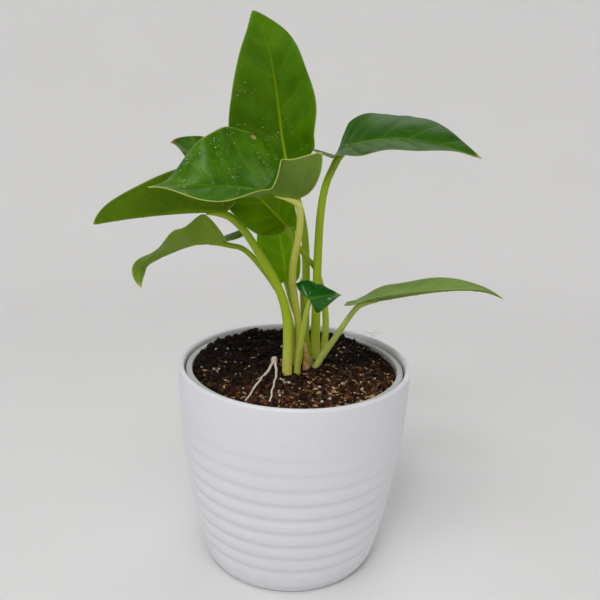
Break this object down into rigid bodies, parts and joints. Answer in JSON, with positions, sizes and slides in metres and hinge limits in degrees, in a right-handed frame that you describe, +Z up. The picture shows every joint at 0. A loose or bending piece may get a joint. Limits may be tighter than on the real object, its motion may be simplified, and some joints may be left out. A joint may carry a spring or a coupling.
{
  "type": "potted philodendron giganteum",
  "caption": "Young philodendron giganteum: heart-shaped leaves on long stalks rise from a crown in soil, in a liner inside a round ribbed planter.",
  "frame": {"origin": "centre of the planter's flat underside", "axes": "+Z up along the planter's axis; -Y towards the side that the leaves are seen from in the picture; +X to the right there"},
  "size_m": [0.2113, 0.1371, 0.3021],
  "materials": {
    "planter": "satin",
    "liner": "satin",
    "soil": "matte",
    "blade": "satin",
    "stalk": "satin",
    "crown": "satin",
    "husk": "matte",
    "sheath": "satin",
    "root": "matte"
  },
  "bodies": {
    "root": {"planter": "planter", "liner": "liner", "soil": "soil", "crown": "crown", "upright_blade": "blade", "upright_stalk": "stalk", "front_blade": "blade", "front_stalk": "stalk", "left_blade": "blade", "left_stalk": "stalk", "back_blade": "blade", "back_stalk": "stalk", "drooping_blade": "blade", "drooping_stalk": "stalk", "hidden_blade": "blade", "hidden_stalk": "stalk", "right_blade": "blade", "right_stalk": "stalk", "low_blade": "blade", "low_stalk": "stalk", "young_blade": "blade", "young_stalk": "stalk", "husk": "husk", "sheath": "sheath", "surface_root": "root"}
  },
  "joints": []
}
